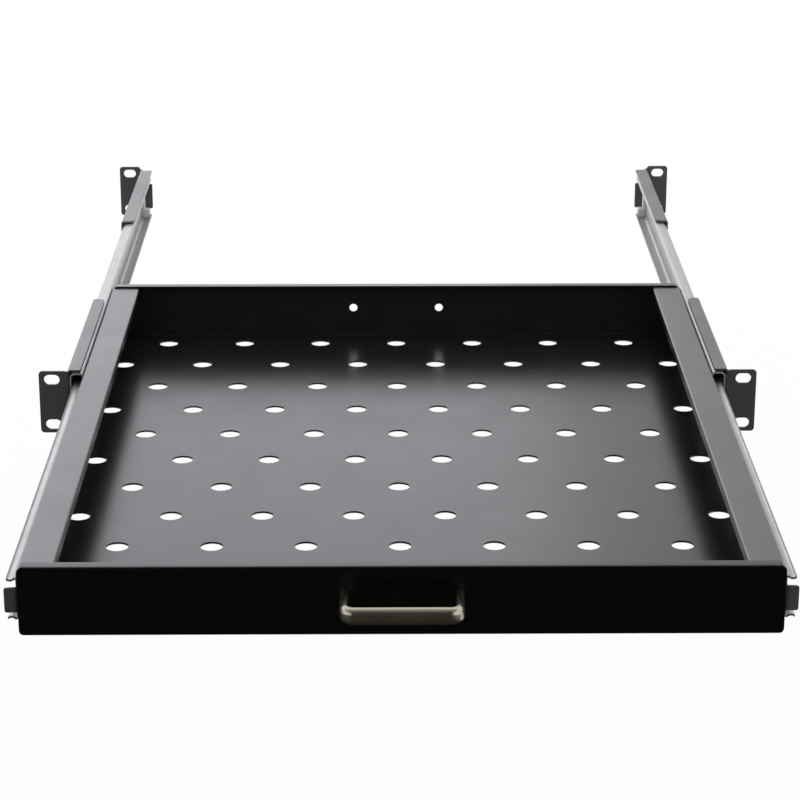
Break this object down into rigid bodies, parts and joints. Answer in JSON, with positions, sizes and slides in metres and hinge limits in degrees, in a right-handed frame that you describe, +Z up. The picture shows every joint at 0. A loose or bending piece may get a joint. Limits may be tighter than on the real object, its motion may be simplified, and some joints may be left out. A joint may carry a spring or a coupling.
{
  "type": "sliding rack shelf",
  "caption": "Pull-out shelf for a 19-inch rack: vented folded-sheet tray with a bow handle on ball-bearing slides, held by slotted ears on front and rear brackets.",
  "frame": {"origin": "middle of the four front ear slots, on the rear face of the front ears, which meets the rack posts", "axes": "+X to the right as seen from the front, +Y to the rear of the rack, +Z up"},
  "size_m": [0.4826, 0.922, 0.0438],
  "materials": {
    "black_powder_coat": "satin powder coat",
    "zinc_plate": "bright zinc plate",
    "satin_nickel": "satin nickel plate",
    "ball_steel": "polished",
    "screw_zinc": "zinc plate",
    "pale_nylon": "moulded"
  },
  "bodies": {
    "rack_rails": {"outer_member_left": "zinc_plate", "outer_member_right": "zinc_plate", "front_bracket_left": "black_powder_coat", "front_bracket_right": "black_powder_coat", "rear_bracket_left": "black_powder_coat", "rear_bracket_right": "black_powder_coat", "front_bracket_screws_left": "screw_zinc", "front_bracket_screws_right": "screw_zinc", "rear_bracket_screws_left": "screw_zinc", "rear_bracket_screws_right": "screw_zinc", "rear_bumper_left": "pale_nylon", "rear_bumper_right": "pale_nylon"},
    "tray": {"tray_base": "black_powder_coat", "tray_side_left": "black_powder_coat", "tray_side_right": "black_powder_coat", "pull_handle": "satin_nickel", "handle_screws": "screw_zinc", "inner_member_left": "zinc_plate", "inner_member_right": "zinc_plate", "tray_screws_left": "screw_zinc", "tray_screws_right": "screw_zinc", "tray_nuts_left": "screw_zinc", "tray_nuts_right": "screw_zinc"},
    "left_ball_cage": {"ball_cage_left": "zinc_plate", "slide_balls_left": "ball_steel"},
    "right_ball_cage": {"ball_cage_right": "zinc_plate", "slide_balls_right": "ball_steel"}
  },
  "joints": [
    {"name": "tray_slide", "type": "slide", "parent": "rack_rails", "child": "tray", "axis": [0, -1, 0], "range_m": [-0.334, 0.0678]},
    {"name": "left_cage_slide", "type": "slide", "parent": "rack_rails", "child": "left_ball_cage", "axis": [0, -1, 0], "range_m": [-0.167, 0.0339]},
    {"name": "right_cage_slide", "type": "slide", "parent": "rack_rails", "child": "right_ball_cage", "axis": [0, -1, 0], "range_m": [-0.167, 0.0339]}
  ],
  "couplings": [
    {"joint": "left_cage_slide", "follows": "tray_slide", "ratio": 0.5},
    {"joint": "right_cage_slide", "follows": "tray_slide", "ratio": 0.5}
  ]
}
